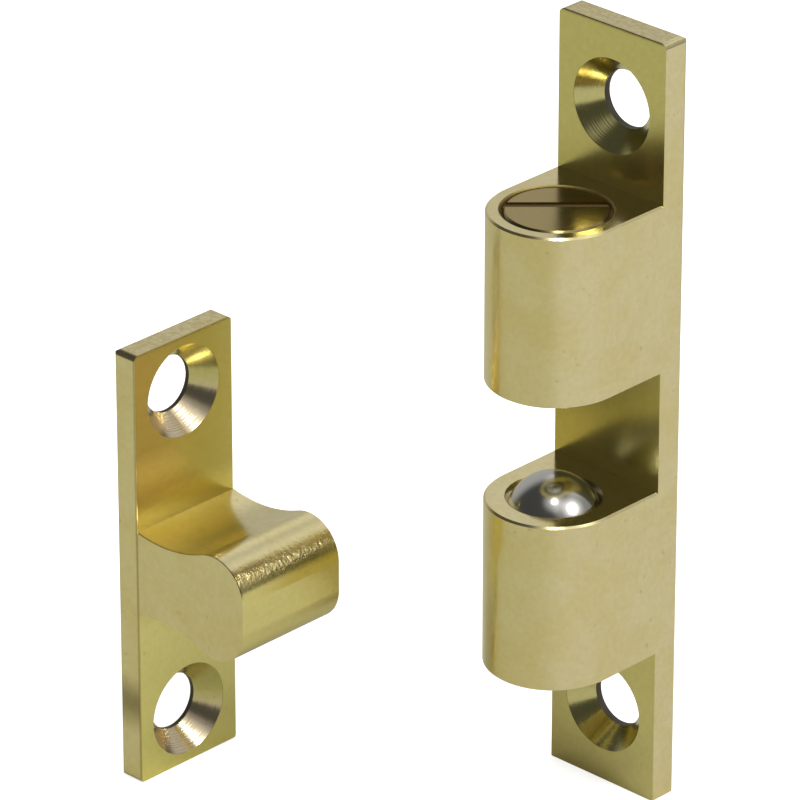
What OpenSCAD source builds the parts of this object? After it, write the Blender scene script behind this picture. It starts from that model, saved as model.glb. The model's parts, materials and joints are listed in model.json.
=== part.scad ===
// Double ball catch for a cupboard door with its strike, both turned and milled from solid brass bar.
// The middle of the catch plate's back face is the origin, Z runs along the plate, the bosses point to -Y.
// The strike stands beside the catch on the same floor, its tongue points to +X.

/* [Catch] */
// Length of the catch plate
plate_h = 60; // [58:0.5:70]
// Width of the catch bar, plate and bosses alike
body_w = 10.1; // [9.8:0.1:12]
// Thickness of the catch plate
plate_t = 2.25; // [2:0.05:3]
// Reach of the bosses in front of the plate
boss_out = 10.6; // [10.4:0.1:13]
// Height of each boss
boss_h = 13.1; // [12.5:0.1:13.5]
// Clear height between the two bosses
gap_h = 9.4; // [9.4:0.1:11]
// Bevel around the top of each boss
boss_c = 0.15; // [0.1:0.05:0.4]

/* [Plate edges] */
// Rounding of the long back edges of both plates
back_r = 0.3; // [0.2:0.05:0.9]
// Rounding of the short back edges of both plates
end_r = 0.4; // [0.2:0.05:0.8]
// Rounding of the upper corners seen from the front
corner_r = 0.5; // [0.2:0.05:0.8]
// Rounding of the lower corners of the catch plate seen from the front
foot_r = 0.15; // [0.1:0.05:0.8]
// Rounding of the lower corners of the strike plate seen from the front
strike_foot_r = 0.4; // [0.1:0.05:0.8]
// Rounding of the front edges of the catch plate
front_r = 0.05; // [0.05:0.05:0.3]
// Rounding of the front edges of the strike plate
strike_front_r = 0.1; // [0.05:0.05:0.4]

/* [Screw holes] */
// Diameter of the screw holes in both plates
hole_d = 4.4; // [3.8:0.1:4.6]
// Diameter of the countersinks at the plate face
sink_d = 7.2; // [6.6:0.1:7.5]
// Depth of the countersinks
sink_h = 1.7; // [1.4:0.1:1.8]
// Distance of the catch holes from the plate ends
hole_in = 6.1; // [5:0.1:6.3]
// Distance of the strike holes from the strike ends
strike_hole_in = 4.35; // [4.3:0.05:5]

/* [Ball and spring] */
// Diameter of the balls
ball_d = 7.1; // [7:0.05:7.15]
// Diameter of the mouth each ball looks out of
mouth_d = 6.5; // [6.2:0.05:6.8]
// Height of the narrowing lip behind the mouth
lip_h = 0.5; // [0.4:0.1:0.8]
// Diameter of the dished ring that the swaging of the lip leaves around the mouth
dish_d = 7.1; // [7:0.1:7.6]
// Depth of the dished ring at the mouth
dish_h = 0.35; // [0.2:0.05:0.5]
// Diameter of the spring wire
wire_d = 0.5; // [0.4:0.05:0.6]
// Mean diameter of the spring coils
coil_d = 4.8; // [4.2:0.1:5.2]
// Number of turns in each spring
coil_n = 4.5; // [4:0.5:5]

/* [Adjusting screw] */
// Outer diameter of the screw thread
thread_d = 7.9; // [7.7:0.05:8.1]
// Pitch of the thread
thread_p = 0.75; // [0.5:0.05:1]
// Length of the adjusting screw
screw_l = 2.8; // [2.4:0.1:3]
// Depth of the tapped bore
tap_l = 5; // [4.5:0.1:5.5]
// Width of the driver slot
slot_w = 0.8; // [0.6:0.1:1.2]
// Depth of the driver slot
slot_d = 1; // [0.6:0.1:1.3]
// Distance of the slot from the screw axis
slot_off = 0.8; // [0:0.1:1]
// Turn of the slot from the X axis
slot_turn = 44; // [0:1:180]

/* [Strike] */
// Length of the strike plate
strike_h = 34.7; // [32:0.1:40]
// Width of the strike
strike_w = 9.85; // [9.1:0.05:12]
// Thickness of the strike plate
strike_t = 2.05; // [1.9:0.05:2.6]
// Length of the tongue in front of the plate
tongue_l = 10.75; // [10.2:0.05:12]
// Thickness of the tongue over its two crests
crest_t = 8.25; // [8:0.05:8.6]
// Rounding of the two crests
crest_r = 2.95; // [2.6:0.05:3]
// Thickness of the tongue in the two ball grooves
neck_t = 6.1; // [5.9:0.05:6.3]
// Distance of the deepest place of the grooves from the plate
neck_at = 2.45; // [2.2:0.05:2.8]

/* [Hidden] */
$fn = 72;
groove_facets = 180;
// gap that keeps neighbouring pieces from sharing space
touch = 0.02;
// running clearance on the radius of ball and screw
run = 0.05;
overcut = 1;
// trace of a bevel around the underside of each boss
under_c = 0.05;
nose_r = body_w / 2;
bore_y = -(plate_t + boss_out - nose_r);
boss_z = gap_h / 2;
boss_top = boss_z + boss_h;
ball_r = ball_d / 2;
bore_r = ball_r + run;
tap_r = thread_d / 2 + run;
// height of the mouth, and of a ball's middle when it rests on the lip
mouth_z = boss_z + dish_h;
ball_z = mouth_z + touch + sqrt(pow(ball_r, 2) - pow(mouth_d / 2, 2));
screw_top = boss_top - touch;
screw_low = screw_top - screw_l;
// depth and half width of a thread groove, and the bevel on the ends of the screw
vee = 0.4 * thread_p;
coil_r = coil_d / 2;
wire_r = wire_d / 2;
// how far the spring's first wire centre sits behind the middle of its ball
seat = sqrt(pow(ball_r + wire_r + touch, 2) - pow(coil_r, 2));
spring_z1 = screw_low - wire_r - touch;
// closely wound turns at each end of the spring
end_turns = 0.75;
// steps along one turn of the wire and sides of its section
wire_steps = 24;
wire_sides = 8;
floor_z = -plate_h / 2;
// place of the strike: middle of its plate face, seen from the catch
strike_x = -23.85;
strike_y = -21.3;
strike_z = floor_z + strike_h / 2;
// the two arcs that make the grooved tongue meet without a step
crest_x = tongue_l - crest_r;
crest_z = crest_t / 2 - crest_r;
arc_dx = crest_x - neck_at;
arc_dz = neck_t / 2 - crest_z;
groove_r = (pow(arc_dx, 2) + pow(arc_dz, 2) - pow(crest_r, 2)) / (2 * (crest_r - arc_dz));
groove_z = neck_t / 2 + groove_r;
share = crest_r / (groove_r + crest_r);
meet_x = crest_x - arc_dx * share;
meet_z = crest_z + (groove_z - crest_z) * share;

brass = [0.78, 0.70, 0.46];
brass_dark = [0.62, 0.54, 0.30];
steel = [0.80, 0.81, 0.82];
wire_grey = [0.45, 0.46, 0.48];

// rectangle with round corners, centred on X, from y = 0 up; the lower corners may be sharper
module rounded(w, h, low, high) {
  polygon([
    [-w / 2 + low, 0], [w / 2 - low, 0], [w / 2 - low, low], [w / 2, low],
    [w / 2, h - high], [w / 2 - high, h - high], [w / 2 - high, h], [-w / 2 + high, h],
    [-w / 2 + high, h - high], [-w / 2, h - high], [-w / 2, low], [-w / 2 + low, low]
  ]);
  for (side = [-1, 1]) {
    translate([side * (w / 2 - low), low])
      circle(r = low);
    translate([side * (w / 2 - high), h - high])
      circle(r = high);
  }
}

// section of a plate, back face in y = 0: its two back and two front edges are rounded
module plate_section(w, t, back, front) {
  polygon([
    [-w / 2, -back], [-w / 2, front - t], [-w / 2 + front, front - t], [-w / 2 + front, -t],
    [w / 2 - front, -t], [w / 2 - front, front - t], [w / 2, front - t], [w / 2, -back],
    [w / 2 - back, -back], [w / 2 - back, 0], [-w / 2 + back, 0], [-w / 2 + back, -back]
  ]);
  for (side = [-1, 1]) {
    translate([side * (w / 2 - back), -back])
      circle(r = back);
    translate([side * (w / 2 - front), front - t])
      circle(r = front);
  }
}

// plate standing on z = 0, back face in y = 0
module plate(w, t, h, front, foot) {
  intersection() {
    linear_extrude(height = h)
      plate_section(w, t, back_r, front);
    translate([0, overcut, 0])
      rotate([90, 0, 0])
        linear_extrude(height = t + 2 * overcut)
          rounded(w, h, foot, corner_r);
    translate([w / 2 + overcut, 0, h / 2])
      rotate([0, -90, 0])
        linear_extrude(height = w + 2 * overcut)
          plate_section(h, t, end_r, front);
  }
}

// countersunk screw hole along +Y, its wide end in the plane y = 0
module screw_hole(t) {
  rotate([-90, 0, 0]) {
    translate([0, 0, -overcut])
      cylinder(h = overcut + touch, d = sink_d);
    cylinder(h = sink_h, d1 = sink_d, d2 = hole_d);
    cylinder(h = t + overcut, d = hole_d);
  }
}

// one boss standing on z = 0 around its bore: flat sides, half round nose, bevelled top
module boss() {
  cylinder(h = under_c, r1 = nose_r - under_c, r2 = nose_r);
  translate([0, 0, under_c])
    cylinder(h = boss_h - under_c - boss_c, r = nose_r);
  translate([0, 0, boss_h - boss_c])
    cylinder(h = boss_c, r1 = nose_r, r2 = nose_r - boss_c);
  rotate([90, 0, 180])
    linear_extrude(height = -bore_y - back_r)
      polygon([
        [under_c - nose_r, 0], [nose_r - under_c, 0], [nose_r, under_c], [nose_r, boss_h - boss_c],
        [nose_r - boss_c, boss_h], [boss_c - nose_r, boss_h], [-nose_r, boss_h - boss_c], [-nose_r, under_c]
      ]);
}

// everything that is drilled out of the upper boss
module boss_bore() {
  translate([0, bore_y, 0]) {
    translate([0, 0, boss_z - overcut])
      cylinder(h = overcut + touch, d = dish_d);
    translate([0, 0, boss_z])
      cylinder(h = dish_h, d1 = dish_d, d2 = mouth_d);
    translate([0, 0, mouth_z])
      cylinder(h = lip_h, r1 = mouth_d / 2, r2 = bore_r);
    translate([0, 0, mouth_z + lip_h])
      cylinder(h = boss_h, r = bore_r);
    translate([0, 0, boss_top - tap_l])
      cylinder(h = tap_l + overcut, r = tap_r);
    translate([0, 0, boss_top - 2 * run])
      cylinder(h = 2 * run, r1 = tap_r, r2 = tap_r + 2 * run);
  }
}

module catch_body() {
  color(brass)
    difference() {
      union() {
        translate([0, 0, floor_z])
          plate(body_w, plate_t, plate_h, front_r, foot_r);
        for (z = [boss_z, -boss_top])
          translate([0, bore_y, z])
            boss();
      }
      boss_bore();
      mirror([0, 0, 1])
        boss_bore();
      for (side = [-1, 1])
        translate([0, -plate_t, side * (plate_h / 2 - hole_in)])
          screw_hole(plate_t);
    }
}

module ball() {
  color(steel)
    translate([0, bore_y, ball_z])
      sphere(r = ball_r);
}

// height of the wire centre after the given number of turns: closely wound at each end
function wire_z(turn, height) =
  let(
    close_p = wire_d + touch,
    open_p = (height - 2 * end_turns * close_p) / (coil_n - 2 * end_turns)
  )
  turn < end_turns ? close_p * turn
  : turn > coil_n - end_turns ? height - close_p * (coil_n - turn)
  : close_p * end_turns + open_p * (turn - end_turns);

module spring() {
  z0 = ball_z + seat;
  steps = round(coil_n * wire_steps);
  points = [
    for (i = [0 : steps], j = [0 : wire_sides - 1])
      let(a = 360 * i / wire_steps, b = 360 * j / wire_sides, r = coil_r + wire_r * cos(b))
      [r * cos(a), r * sin(a), z0 + wire_z(i / wire_steps, spring_z1 - z0) + wire_r * sin(b)]
  ];
  walls = [
    for (i = [0 : steps - 1], j = [0 : wire_sides - 1])
      let(k = (j + 1) % wire_sides)
      [i * wire_sides + j, (i + 1) * wire_sides + j, (i + 1) * wire_sides + k, i * wire_sides + k]
  ];
  first = [for (j = [0 : wire_sides - 1]) j];
  last = [for (j = [wire_sides - 1 : -1 : 0]) steps * wire_sides + j];
  color(wire_grey)
    translate([0, bore_y, 0])
      polyhedron(points = points, faces = concat(walls, [first, last]));
}

// section of the screw: bevelled ends, and between them the vee grooves of the thread
module screw_section() {
  r = thread_d / 2;
  first = 1.5 * vee;
  last = floor((screw_l - first - 3 * vee - touch) / thread_p);
  grooves = [
    for (i = [0 : last], k = [0 : 2])
      [k == 1 ? r - vee : r, first + i * thread_p + k * vee]
  ];
  polygon(concat(
    [[0, 0], [r - vee, 0], [r, vee]], grooves,
    [[r, screw_l - vee], [r - vee, screw_l], [0, screw_l]]
  ));
}

module adjusting_screw() {
  color(brass_dark)
    translate([0, bore_y, screw_low])
      difference() {
        rotate_extrude()
          screw_section();
        rotate([0, 0, slot_turn])
          translate([-thread_d, slot_off - slot_w / 2, screw_l - slot_d])
            cube([2 * thread_d, slot_w, slot_d + overcut]);
      }
}

// section of the tongue from the side, plate face at x = 0
module tongue_section() {
  difference() {
    translate([-strike_t / 2, -meet_z])
      square([meet_x + strike_t / 2, 2 * meet_z]);
    for (side = [-1, 1])
      translate([neck_at, side * groove_z])
        circle(r = groove_r, $fn = groove_facets);
  }
  translate([meet_x - touch, -crest_z])
    square([tongue_l - meet_x + touch, 2 * crest_z]);
  for (side = [-1, 1])
    translate([crest_x, side * crest_z])
      circle(r = crest_r);
}

module strike() {
  color(brass)
    translate([strike_x, strike_y, strike_z])
      difference() {
        union() {
          translate([-strike_t, 0, -strike_h / 2])
            rotate([0, 0, 90])
              plate(strike_w, strike_t, strike_h, strike_front_r, strike_foot_r);
          translate([0, strike_w / 2, 0])
            rotate([90, 0, 0])
              linear_extrude(height = strike_w)
                tongue_section();
        }
        for (side = [-1, 1])
          translate([0, 0, side * (strike_h / 2 - strike_hole_in)])
            rotate([0, 0, 90])
              screw_hole(strike_t);
      }
}

catch_body();
ball();  // upper_ball
mirror([0, 0, 1]) ball();  // lower_ball
spring();  // upper_spring
mirror([0, 0, 1]) spring();  // lower_spring
adjusting_screw();  // upper_adjusting_screw
mirror([0, 0, 1]) adjusting_screw();  // lower_adjusting_screw
strike();
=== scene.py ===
# %% [markdown]
# A ball catch for a cupboard door, with its strike. Both halves are cut from solid brass bar,
# the balls are hardened steel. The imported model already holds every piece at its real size, so this
# script only dresses it: finishes, light, floor and camera. Nothing is moved or reshaped.

import json
import math

import bpy
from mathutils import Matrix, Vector


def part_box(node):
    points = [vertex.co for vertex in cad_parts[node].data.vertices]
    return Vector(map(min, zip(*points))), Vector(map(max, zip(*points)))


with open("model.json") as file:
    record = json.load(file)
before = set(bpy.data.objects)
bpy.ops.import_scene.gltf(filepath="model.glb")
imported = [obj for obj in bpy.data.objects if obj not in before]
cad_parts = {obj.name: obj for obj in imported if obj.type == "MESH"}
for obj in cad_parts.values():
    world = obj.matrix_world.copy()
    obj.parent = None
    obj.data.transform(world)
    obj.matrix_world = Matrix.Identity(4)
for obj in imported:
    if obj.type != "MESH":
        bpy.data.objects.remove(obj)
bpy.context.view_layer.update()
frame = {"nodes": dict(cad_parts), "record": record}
nodes = frame["nodes"]
print("pieces:", sorted(nodes))

# %% [markdown]
# The main measures of the real object are needed for its finishes: where the plate's front face is,
# where the screw holes are, how far the bosses reach. They are read back from the model, so a change
# of size carries over. Everything in the materials is in millimetres.

# %% Measures of the catch and the strike
MM = 1000.0


def span(node):
    """Lowest and highest corner of a node in millimetres."""
    low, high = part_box(node)
    return low * MM, high * MM


catch_low, catch_high = span("catch_body")
strike_low, strike_high = span("strike")
ball_low, ball_high = span("lower_ball")
screw_high = span("upper_adjusting_screw")[1]
mounts = {m["name"]: m for m in frame["record"]["mounts"]}


def hole_heights(mount):
    """Heights of the two screw holes of a mount, in millimetres."""
    middle = mounts[mount]["pos_m"][2] * MM
    half = mounts[mount]["dims"]["spacing_y_mm"] / 2
    return middle - half, middle + half


catch_holes = hole_heights("catch_screws")
strike_holes = hole_heights("strike_screws")
bore_y = (ball_low.y + ball_high.y) / 2
strike_y = (strike_low.y + strike_high.y) / 2
strike_z = (strike_low.z + strike_high.z) / 2
PLATE_T = 2.25  # thickness of the catch's plate
STRIKE_T = 2.05  # thickness of the strike's plate
SINK_R = 3.6  # radius of the countersinks
floor_z = catch_low.z
print("catch holes at", catch_holes, "strike holes at", strike_holes, "bore axis y", round(bore_y, 2))

# %% [markdown]
# Shader maths reads best when it is written as plain expressions. The class below wraps one socket
# of a node tree, so that `1 - mask` or `height * 0.3` adds the Math node by itself. Every other node
# comes from the one method `node`, which takes the type, its settings and its inputs.

# %% A socket to calculate with
RELIEF = 0.05  # millimetres that a bump height of 1 stands for


class Value:
    """A number socket; the usual signs add Math nodes behind it."""

    def __init__(self, finish, socket):
        self.finish = finish
        self.socket = socket

    def math(self, operation, *others):
        return self.finish.node("ShaderNodeMath", {"operation": operation}, self, *others)

    def __add__(self, other):
        return self.math("ADD", other)

    def __sub__(self, other):
        return self.math("SUBTRACT", other)

    def __rsub__(self, other):
        return self.finish.node("ShaderNodeMath", {"operation": "SUBTRACT"}, other, self)

    def __mul__(self, other):
        return self.math("MULTIPLY", other)

    def __truediv__(self, other):
        return self.math("DIVIDE", other)

    def __neg__(self):
        return self * -1

    __radd__ = __add__

    def size(self):
        return self.math("ABSOLUTE")

    def either(self, other):
        return self.math("MAXIMUM", other)

    def power(self, exponent):
        return self.math("POWER", exponent)

    def rise(self, start, end):
        """0 below start, 1 above end, smooth between; end may lie below start for a fall."""
        settings = {"interpolation_type": "SMOOTHSTEP"}
        low, high = min(start, end), max(start, end)
        ramp = self.finish.node("ShaderNodeMapRange", settings, self, low, high, 0.0, 1.0)
        return ramp if end > start else 1 - ramp

    def near(self, place, width):
        """1 at the given value, falling to 0 at the given distance from it."""
        return (self - place).size().rise(width, 0.0)


# %% A node tree and the nodes it can add
class Graph:
    """A node tree that adds any node with its settings and inputs in one call."""

    def __init__(self, tree):
        self.tree = tree
        tree.nodes.clear()

    def link(self, value, socket):
        if isinstance(value, Value):
            self.tree.links.new(value.socket, socket)
        else:
            socket.default_value = value

    def node(self, kind, settings, *inputs, output=0, named=None):
        """Adds a node: settings first, then its inputs in order, then inputs given by name."""
        made = self.tree.nodes.new(kind)
        for key, value in settings.items():
            setattr(made, key, value)
        for value, socket in zip(inputs, made.inputs):
            self.link(value, socket)
        for key, value in (named or {}).items():
            self.link(value, made.inputs[key])
        return Value(self, made.outputs[output]) if made.outputs else made

    def split(self, vector):
        made = self.tree.nodes.new("ShaderNodeSeparateXYZ")
        self.link(vector, made.inputs[0])
        return [Value(self, socket) for socket in made.outputs]

    def join(self, x, y, z):
        return self.node("ShaderNodeCombineXYZ", {}, x, y, z)

    def vector_math(self, operation, *vectors, scale=None):
        named = {} if scale is None else {"Scale": scale}
        return self.node("ShaderNodeVectorMath", {"operation": operation}, *vectors, named=named)

    def noise(self, vector, scale, detail=3.0, roughness=0.5, distortion=0.0):
        named = {"Vector": vector, "Scale": scale, "Detail": detail,
                 "Roughness": roughness, "Distortion": distortion}
        return self.node("ShaderNodeTexNoise", {}, named=named)

    def mix(self, mask, first, second):
        """Colour between first and second, by a mask of 0 to 1."""
        settings = {"data_type": "RGBA", "clamp_factor": True}
        named = {0: mask, 6: first, 7: second}
        return self.node("ShaderNodeMix", settings, named=named, output=2)

    def shade(self, colour, amount):
        """Colour multiplied by a number socket."""
        return self.vector_math("SCALE", colour, scale=amount)

    def light_path(self, *rays):
        """1 for the named kinds of ray, 0 for all others."""
        seen = [self.node("ShaderNodeLightPath", {}, output=f"Is {ray} Ray") for ray in rays]
        total = seen[0]
        for other in seen[1:]:
            total = total.either(other)
        return total


class Finish(Graph):
    """One procedural material; positions in it are millimetres in the object's own frame."""

    def __init__(self, name):
        self.material = bpy.data.materials.new(name)
        self.material.use_nodes = True
        super().__init__(self.material.node_tree)
        self.shader = self.tree.nodes.new("ShaderNodeBsdfPrincipled")
        output = self.tree.nodes.new("ShaderNodeOutputMaterial")
        self.tree.links.new(self.shader.outputs["BSDF"], output.inputs["Surface"])
        coordinates = self.node("ShaderNodeTexCoord", {}, output="Object")
        self.place = self.vector_math("SCALE", coordinates, scale=MM)
        self.x, self.y, self.z = self.split(self.place)
        facing = self.node("ShaderNodeTexCoord", {}, output="Normal")
        self.nx, self.ny, self.nz = self.split(facing)

    def stretched(self, x, y, z):
        """The place on the object with each axis multiplied, for grain that runs one way."""
        return self.vector_math("MULTIPLY", self.place, (x, y, z))

    def radius_of(self, across, up, holes):
        """Distance from the nearest of the axes at the given heights."""
        reach = None
        for hole in holes:
            rise = up - hole
            radius = (across * across + rise * rise).power(0.5)
            reach = radius if reach is None else reach.math("MINIMUM", radius)
        return reach

    def worn_side(self, radius):
        """1 on the parts of a ring that face -Y and +X, where the gap stands open and its painted
        shadow lies, 0 behind.
        """
        towards_front = ((bore_y - self.y) / radius).rise(0.45, 0.75)
        towards_right = (self.x / radius).rise(0.75, 0.95)
        return towards_front.either(towards_right * 0.6)

    def set(self, **values):
        """Gives the shader its values; underscores stand for the spaces in the sockets' names."""
        for key, value in values.items():
            self.link(value, self.shader.inputs[key.replace("_", " ").title().replace("Ior", "IOR")])

    def bump(self, height, distance=RELIEF, strength=1.0):
        """Normal from a height, where 1 stands for the given millimetres."""
        named = {"Strength": strength, "Distance": distance / MM, "Height": height}
        self.link(self.node("ShaderNodeBump", {}, named=named), self.shader.inputs["Normal"])


# %% [markdown]
# Brass is a metal, so what it shows is mostly the room: a flat side that looks at the white floor is
# pale, and a face that sees another brass face is golden, because the light has met brass twice. So
# the colours stay near each other, and the faces differ in how they were made. The catch is a
# length of drawn bar with a round nose. Its sides keep the drawn skin, soft and a little cloudy, while
# the plate's front and the boss tops are milled and mirror more clearly.

# %% Brass colours of the catch
PALE = (0.86, 0.755, 0.42, 1)
WARM = (0.83, 0.71, 0.35, 1)
MILLED = (0.74, 0.66, 0.26, 1)
CUT = (0.68, 0.62, 0.26, 1)
BROWN = (0.37, 0.275, 0.09, 1)
# Painted shade for the short wall of each screw hole.
HOLE_WALL_SHADE = (0.05, 0.04, 0.02, 1)
DARK = (0.16, 0.12, 0.05, 1)

# %% Where the catch is drawn, milled, drilled and sawn, and where shade is painted on it
catch = Finish("catch_brass")
drawn = catch.noise(catch.stretched(4.0, 4.0, 0.05), 1.0, 3.0, 0.6)
clouds = catch.noise(catch.place, 0.3, 4.0, 0.6)
grains = catch.noise(catch.place, 2.5, 3.0)
pits = catch.noise(catch.place, 1.7, 1.0).rise(0.74, 0.80)
flat_top = catch.nz.size().rise(0.9, 0.97)
front = (-catch.ny).rise(0.9, 0.98) * catch.y.rise(-PLATE_T - 0.4, -PLATE_T - 0.1)
# Painted shade low on the plate's front, where it mirrors the shaded floor by its foot.
painted_low_shade = catch.z.rise(-22.0, -30.0) * catch.x.rise(5.0, -4.0) * front
sawn = catch.z.rise(catch_high.z - 0.3, catch_high.z - 0.1) * grains.rise(0.3, 0.7)
# Painted shade: a dark line along the plate's front top edge, where its small bevel mirrors the dark
# room.
painted_top_edge_shade = catch.z.near(catch_high.z, 0.2) * catch.y.near(-PLATE_T, 0.2)
around = catch.radius_of(catch.x, catch.z, catch_holes)
sunk = around.rise(SINK_R + 0.05, SINK_R - 0.05)
cone = sunk * catch.ny.size().rise(0.9, 0.8)
land = sunk * catch.ny.size().rise(0.3, 0.1)
print("catch_brass has", len(catch.tree.nodes), "nodes for its places")

# %% [markdown]
# Painted shade darkens the gap round the adjusting screw, the groove that swaging leaves round the
# ball, and the short wall of each screw hole. These rings are found by their distance from the bore.
# The screw's gap stands open at the front, where its painted shadow is darkest, and is tight behind.

# %% Rings round the screw and the ball
from_bore = catch.radius_of(catch.x, catch.y - bore_y, (0.0,))
# Painted shade: the rim round the screw is painted brown, which dulls its glint.
rim = from_bore.near(screw_high.x + 0.08, 0.16) * catch.z.rise(screw_high.z - 0.3, screw_high.z - 0.15)
# Painted shadow of the gap, on the rim's open side.
rim_gap_shadow = rim * catch.worn_side(from_bore)
to_the_plate = ((catch.y - bore_y) / from_bore).rise(0.1, 0.7)
swaged = from_bore.rise(3.6, 3.5) * from_bore.rise(3.2, 3.3) * catch.z.size().rise(5.6, 5.2)
# Painted shade in the swaged groove, on its side towards the plate.
painted_dish_shade = swaged * to_the_plate
print("gap round the screw at", round(screw_high.x, 2), "mm from the bore's axis")

# %% [markdown]
# Now the colour is laid on like coats of paint, the later over the earlier, and the bump gives the
# surface its lines. The countersinking bit leaves fine rings in the cones. The cones are modelled
# a little steeper than they look in the photograph, so a slope in the bump makes them mirror like
# shallower ones, by about 3 degrees.

# %% The catch's finish
CATCH_LEAN = 1.8  # bump height for each millimetre nearer to the hole's axis
skin = catch.mix(clouds.rise(0.35, 0.65), PALE, WARM)
skin = catch.mix(front, skin, MILLED)
skin = catch.mix(cone, skin, CUT)
# Brown for saw marks and pits, and painted shade on the rim round the screw and low on the plate's
# front.
skin = catch.mix((sawn * 0.45).either(pits * 0.3).either(rim).either(painted_low_shade * 0.5), skin, BROWN)
# The short wall of each screw hole gets painted shade, dull and not metallic.
skin = catch.mix(land, skin, HOLE_WALL_SHADE)
# Dark paint for painted shade: the plate's front top edge, the open side of the screw's gap, and the
# groove round the ball.
skin = catch.mix((painted_top_edge_shade * 0.8).either(rim_gap_shadow).either(painted_dish_shade * 0.85), skin, DARK)
catch.set(base_color=catch.shade(skin, 0.9 + grains * 0.2), metallic=1.0 - land * 0.9,
          roughness=0.20 + drawn * 0.06 - flat_top * 0.08 - cone * 0.04 + (rim + land) * 0.35)
turned = catch.noise(catch.join(around * 9.0, 0.0, 0.0), 1.0, 2.0)
shallow = (SINK_R - around).either(0.0) * CATCH_LEAN * cone
catch.bump(drawn * 0.018 + turned * cone * 0.24 + shallow)
print("catch_brass has", len(catch.tree.nodes), "nodes")

# %% [markdown]
# The strike comes from a T shaped bar, so its grooved faces keep the drawn skin and its two sides are
# saw cuts. Its front carries painted reflection: golden near the tongue, where two brass faces look at
# each other, and a bright straw below. Painted shade draws a dark line along the tongue's near edge
# and along the front's top and near edges, the near side is darker in a band low down, and the front
# of the crest, which rubs past the balls, is scuffed and glitters. Names that begin with s_ are the
# strike's counterparts of the catch's.

# %% Where the strike gets painted reflection and painted shade, and where it is scuffed
OLIVE = (0.72, 0.63, 0.21, 1)
AMBER = (0.80, 0.62, 0.24, 1)
ROSY = (0.80, 0.67, 0.45, 1)
# Painted reflection colours of the strike's front: golden near the tongue, straw below.
PAINTED_GOLDEN_REFLECTION = (1.00, 0.84, 0.27, 1)
PAINTED_STRAW_REFLECTION = (1.00, 0.90, 0.36, 1)
LEMON = (0.86, 0.75, 0.29, 1)
strike = Finish("strike_brass")
face_x = strike_low.x + STRIKE_T
s_drawn = strike.noise(strike.stretched(4.0, 0.05, 4.0), 1.0, 3.0, 0.6)
s_clouds = strike.noise(strike.place, 0.3, 4.0, 0.6)
s_grains = strike.noise(strike.place, 2.5, 3.0)
s_pits = strike.noise(strike.place, 1.7, 1.0).rise(0.74, 0.80)
s_front = strike.nx.rise(0.9, 0.98) * strike.x.rise(face_x + 0.4, face_x + 0.1)
s_around = strike.radius_of(strike.y - strike_y, strike.z, strike_holes)
s_sunk = s_around.rise(SINK_R + 0.05, SINK_R - 0.05)
s_cone = s_sunk * strike.nx.size().rise(0.9, 0.8)
s_land = s_sunk * strike.nx.size().rise(0.3, 0.1)
low_hole, high_hole = strike_holes
s_under = strike.z.rise(high_hole + 0.3, high_hole - 1.5) * strike.z.rise(strike_z, strike_z + 2.0)
s_under = s_under.either(strike.z.rise(low_hole + 0.3, low_hole - 1.5))
tongue = strike.x.rise(face_x, face_x + 0.2)
# Painted shade: a dark line along the tongue's near top edge, where its bevel mirrors the dark room.
s_near_edge_shade = strike.y.near(strike_low.y, 0.22) * tongue * strike.nz.rise(0.1, 0.4)
# Painted golden reflection on the front, near the tongue.
s_golden_reflection = strike.z.near(strike_z + 3.9, 2.4)
s_left = strike.y.rise(strike_y + 3.0, strike_y - 4.0)
# Painted straw reflection, low on the front.
s_straw_reflection = strike.z.rise(strike_z - 2.0, strike_z - 5.0)
s_sawn = strike.z.rise(strike_high.z - 0.3, strike_high.z - 0.1) * s_grains.rise(0.3, 0.7)
s_nose = strike.nx.rise(0.75, 0.95) * strike.x.rise(strike_high.x - 2.0, strike_high.x - 1.0)
# Painted shade on the front's near edge and top edge, where small bevels would glint.
s_edge_shade = strike.y.near(strike_low.y, 0.2) * strike.x.near(face_x, 0.2)
s_top_shade = strike.z.near(strike_high.z, 0.25) * strike.x.near(face_x, 0.2)
# A darker band low on the strike's near side.
s_low_band = strike.z.near(strike_z - 10.9, 2.8) * strike.ny.rise(-0.7, -0.9) * (1 - tongue)
scuffed = strike.nz.near(0.6, 0.35) * strike.x.rise(strike_high.x - 3.4, strike_high.x - 2.6)
glitter = strike.noise(strike.place, 2.8, 1.0, 0.6)
print("strike_brass has", len(strike.tree.nodes), "nodes for its places")

# %% [markdown]
# In the photograph the strike stands about two degrees out of square. Its mounts must stay square
# to the frame, so the piece isn't turned. A slope of 2.5 degrees in the bump turns what it mirrors
# instead, and that is what one sees. The cones lean by 5.5 degrees, as on the catch by 3.

# %% The strike's finish
STRIKE_LEAN = 3.0  # steeper than CATCH_LEAN
TURNED_BY = math.radians(2.5)
s_skin = strike.mix(s_clouds.rise(0.35, 0.65), PALE, WARM)
# The front's painted reflection: golden near the tongue, straw below, amber towards the left.
painted_front_reflection = strike.mix(s_golden_reflection, strike.mix(s_left, OLIVE, AMBER), PAINTED_GOLDEN_REFLECTION)
s_skin = strike.mix(s_front, s_skin, strike.mix(s_straw_reflection, painted_front_reflection, PAINTED_STRAW_REFLECTION))
s_skin = strike.mix(s_nose, s_skin, LEMON)
s_skin = strike.mix(s_cone, s_skin, strike.mix(s_under, CUT, ROSY))
# Brown for saw marks, pits and scuffs, and painted shade on the front's edges.
dull_and_shaded = (s_sawn * 0.45).either(s_pits * 0.3).either(scuffed * 0.35).either(s_edge_shade.either(s_top_shade) * 0.7)
s_skin = strike.mix(dull_and_shaded, s_skin, BROWN)
# The short wall of each screw hole gets painted shade, as on the catch.
s_skin = strike.mix(s_land, s_skin, HOLE_WALL_SHADE)
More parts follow.
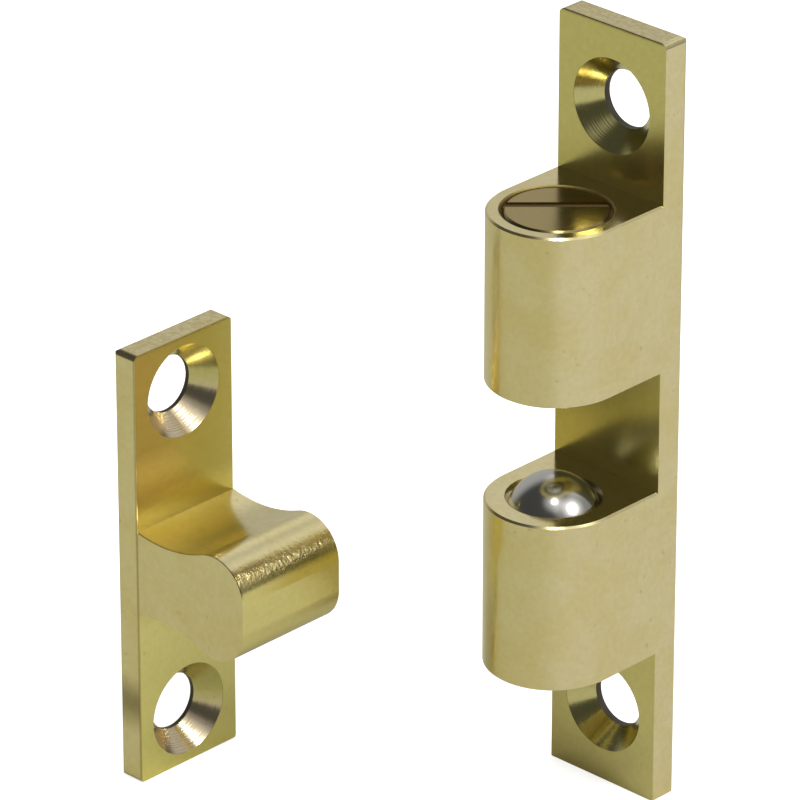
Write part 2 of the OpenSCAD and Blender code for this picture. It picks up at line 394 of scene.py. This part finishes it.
# Dark paint for painted shade on the tongue's near edge, and for a darker band low on the near side.
s_skin = strike.mix(s_near_edge_shade.either(s_low_band * 0.65), s_skin, DARK)
strike.set(base_color=strike.shade(s_skin, 0.9 + s_grains * 0.2), metallic=1.0 - s_land * 0.9,
           roughness=0.19 + s_drawn * 0.06 - s_cone * 0.04 + s_land * 0.35)
s_turned = strike.noise(strike.join(s_around * 9.0, 0.0, 0.0), 1.0, 2.0)
s_shallow = (SINK_R - s_around).either(0.0) * STRIKE_LEAN * s_cone
out_of_square = strike.y * (math.tan(TURNED_BY) / RELIEF)
relief = s_drawn * 0.03 + glitter * scuffed * 0.8 + s_turned * s_cone * 0.3 + s_shallow
strike.bump(relief + out_of_square)
print("strike_brass has", len(strike.tree.nodes), "nodes")

# %% [markdown]
# The adjusting screws are turned from another brass and have tarnished to a brownish tone. A lathe
# leaves fine rings on their ends, and the slot, which no cloth reaches, is dull. Both screws share one
# material, because heights are taken as distances from the middle of the catch.

# %% The adjusting screws
GRIMY = (0.30, 0.21, 0.10, 1)
screw = Finish("screw_brass")
from_axis = screw.radius_of(screw.x, screw.y - bore_y, (0.0,))
rings = screw.noise(screw.join(from_axis * 6.0, 0.0, 0.0), 1.0, 3.0, 0.6)
# Painted shadow of the gap, on the screw's outer edge where it stands open.
edge = from_axis.rise(screw_high.x - 0.35, screw_high.x - 0.1)
slot = screw.z.size().rise(screw_high.z - 0.1, screw_high.z - 0.4)
tarnished = screw.mix(rings * 0.3, BROWN, WARM)
tarnished = screw.mix(edge * screw.worn_side(from_axis), tarnished, DARK)
screw.set(base_color=screw.mix(slot, tarnished, GRIMY),
          metallic=1.0 - slot * 0.8, roughness=0.2 + slot * 0.3)
screw.bump(rings, 0.004, 0.5)
print("screw_brass has", len(screw.tree.nodes), "nodes")

# %% [markdown]
# The balls are bought bearing balls: hardened steel, polished, a slightly warm grey. They are the
# clearest mirrors here, so their roughness is low and even. The springs are bright drawn wire.

# %% Steel balls and springs
STEEL = (0.62, 0.61, 0.56, 1)
WIRE = (0.45, 0.46, 0.48, 1)
steel = Finish("ball_steel")
steel.set(base_color=STEEL, metallic=1.0, roughness=0.18)
wire = Finish("spring_steel")
wire.set(base_color=WIRE, metallic=1.0, roughness=0.35)
print("steel finishes made")

# %% [markdown]
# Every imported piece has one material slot. The new finishes go into these slots, so the pieces keep
# their shape, and a piece that is made twice gets the same finish twice.

# %% Give each piece its finish
FINISHES = {
    "catch_body": catch, "strike": strike,
    "upper_ball": steel, "lower_ball": steel,
    "upper_spring": wire, "lower_spring": wire,
    "upper_adjusting_screw": screw, "lower_adjusting_screw": screw,
}
for name, finish in FINISHES.items():
    mesh = nodes[name].data
    for material_slot in nodes[name].material_slots:
        material_slot.material = finish.material
    print(name, len(mesh.polygons), "faces", "custom normals", mesh.has_custom_normals)

# %% [markdown]
# The photograph is a product shot on a white sheet. For the camera the sheet is plain white, with only
# the soft shadow of the object. The metal mirrors it a little greyer, as a sheet that is lit from
# above, with painted shade on the floor to the front left and to the back left of the object. These
# are colours of the floor that depend on the kind of ray, so the light on the object stays as it is.

# %% Floor: white paper, greyer for what the metal mirrors, with painted shade to its front left and back left
PAPER = (0.86, 0.86, 0.85, 1)
MIRRORED = (0.68, 0.68, 0.66, 1)
# Painted shade on the floor to the back left, seen only in the metal.
SHADED = (0.50, 0.50, 0.47, 1)
# Painted shade on the floor to the front left, seen only in the metal.
FRONT_LEFT_SHADE = (0.58, 0.58, 0.46, 1)
BLACK = (0, 0, 0, 1)
WHITE = (1, 1, 1, 1)
GLOW = 0.66  # lifts the lit sheet to plain white, for the camera alone
floor_mesh = bpy.data.meshes.new("floor")
FLOOR_SIZE = 6.0  # metres
half = FLOOR_SIZE / 2
corners = [(-half, -half), (half, -half), (half, half), (-half, half)]
floor_mesh.from_pydata([(x, y, floor_z / MM) for x, y in corners], [], [(0, 1, 2, 3)])
floor = bpy.data.objects.new("floor", floor_mesh)
bpy.context.scene.collection.objects.link(floor)
paper = Finish("floor_paper")
front_left = (paper.x * -0.69 + paper.y * -0.72).rise(-10.0, 35.0)
back_left = (paper.x * -0.72 + paper.y * 0.69).rise(25.0, 60.0)
mirror_ray = paper.light_path("Glossy")
camera_ray = paper.light_path("Camera")
under = paper.mix(back_left, MIRRORED, SHADED)
sheet = paper.mix(mirror_ray, PAPER, paper.mix(front_left, under, FRONT_LEFT_SHADE))
paper.set(base_color=sheet, roughness=0.9, specular_ior_level=0.0,
          emission_color=paper.mix(camera_ray, BLACK, WHITE), emission_strength=GLOW)
floor_mesh.materials.append(paper.material)
print("floor at", floor_z, "mm")

# %% [markdown]
# The steel ball is a small mirror of the studio: a bright backdrop behind on the left, a paler wall
# behind the object, a dark room in front on the left, and a glow round each lamp. The world is that
# room. Its brightness is a sum of soft round patches, each at a compass direction read off the ball.
# The camera sees plain white instead, and rough surfaces get one even level.

# %% World: the room that the metal mirrors
DIM = 0.07  # the room between the patches
EVEN = 0.60  # what rough surfaces get from all sides
world = bpy.data.worlds.new("studio")
world.use_nodes = True
bpy.context.scene.world = world
room = Graph(world.node_tree)
direction = room.node("ShaderNodeTexCoord", {}, output="Generated")


def compass(azimuth, elevation):
    """Unit vector of a direction: degrees from +X towards +Y, and degrees above the floor."""
    a, e = math.radians(azimuth), math.radians(elevation)
    return Vector((math.cos(a) * math.cos(e), math.sin(a) * math.cos(e), math.sin(e)))


def patch(azimuth, elevation, inner, outer):
    """Soft round patch of the room: 1 within inner degrees of a direction, 0 beyond outer."""
    cosine = room.node("ShaderNodeVectorMath", {"operation": "DOT_PRODUCT"}, direction,
                       tuple(compass(azimuth, elevation)), output="Value")
    return cosine.rise(math.cos(math.radians(outer)), math.cos(math.radians(inner)))


mirrored = (
    DIM
    + patch(147, 8, 22, 52) * 0.42
    + patch(100, 48, 12, 40) * 0.50
    + patch(52, 36, 18, 44) * 0.26
    + patch(-42, 65, 8, 30) * 0.45
    + patch(-20, 44, 6, 26) * 0.30
    + patch(12, 37, 12, 30) * 0.60
)
plain = room.light_path("Camera")
level = mirrored * room.light_path("Glossy") + room.light_path("Diffuse") * EVEN + plain
background = room.node("ShaderNodeBackground", {}, WHITE, level)
room.node("ShaderNodeOutputWorld", {}, background)
print("world has", len(world.node_tree.nodes), "nodes")

# %% [markdown]
# The two highlights on the ball give the lamps: one above the camera, and a wider one lower on the
# right. They stand 2 m away, so that the floor is lit evenly, and their size is given as the angle
# they cover. Radiance is what a mirror shows of them, so the power follows from it and the size.

# %% Two lamps
MIDDLE = Vector((-0.012, -0.011, 0.0))
LAMP_AWAY = 2.0  # metres


def lamp(name, azimuth, elevation, radius, radiance):
    """Round lamp 2 m away that covers the given degrees and shines with the given radiance."""
    size = LAMP_AWAY * math.tan(math.radians(radius))
    data = bpy.data.lights.new(name, "AREA")
    data.shape = "DISK"
    data.size = 2 * size
    data.energy = radiance * math.pi * math.pi * size * size  # of a disk that shines to one side
    thing = bpy.data.objects.new(name, data)
    bpy.context.scene.collection.objects.link(thing)
    towards = compass(azimuth, elevation)
    thing.location = MIDDLE + towards * LAMP_AWAY
    thing.rotation_euler = towards.to_track_quat("Z", "Y").to_euler()
    print(name, round(data.energy, 2), "W")


lamp("lamp_above_camera", -42, 66, 5.5, 11.5)
lamp("lamp_right", 12, 37, 10, 12)

# %% [markdown]
# The camera was fitted to the outline in the photograph: a long lens, half a metre away, a little over
# the object and to its right. Upright edges stay almost upright, as in the photograph.

# %% Camera
AZIMUTH = math.radians(43.83)
ELEVATION = math.radians(26.01)
DISTANCE = 0.4955
camera_data = bpy.data.cameras.new("camera")
camera_data.sensor_width = 36
camera_data.lens = 310.4
camera_data.clip_start = 0.01
camera = bpy.data.objects.new("camera", camera_data)
bpy.context.scene.collection.objects.link(camera)
back = Vector((
    math.sin(AZIMUTH) * math.cos(ELEVATION),
    -math.cos(AZIMUTH) * math.cos(ELEVATION),
    math.sin(ELEVATION),
))
AIM = Vector((-0.011764, -0.011402, 0.000216))
camera.location = AIM + back * DISTANCE
camera.rotation_euler = back.to_track_quat("Z", "Y").to_euler()
bpy.context.scene.camera = camera
bpy.context.scene.view_settings.view_transform = "Standard"
print("camera at", [round(v, 4) for v in camera.location])
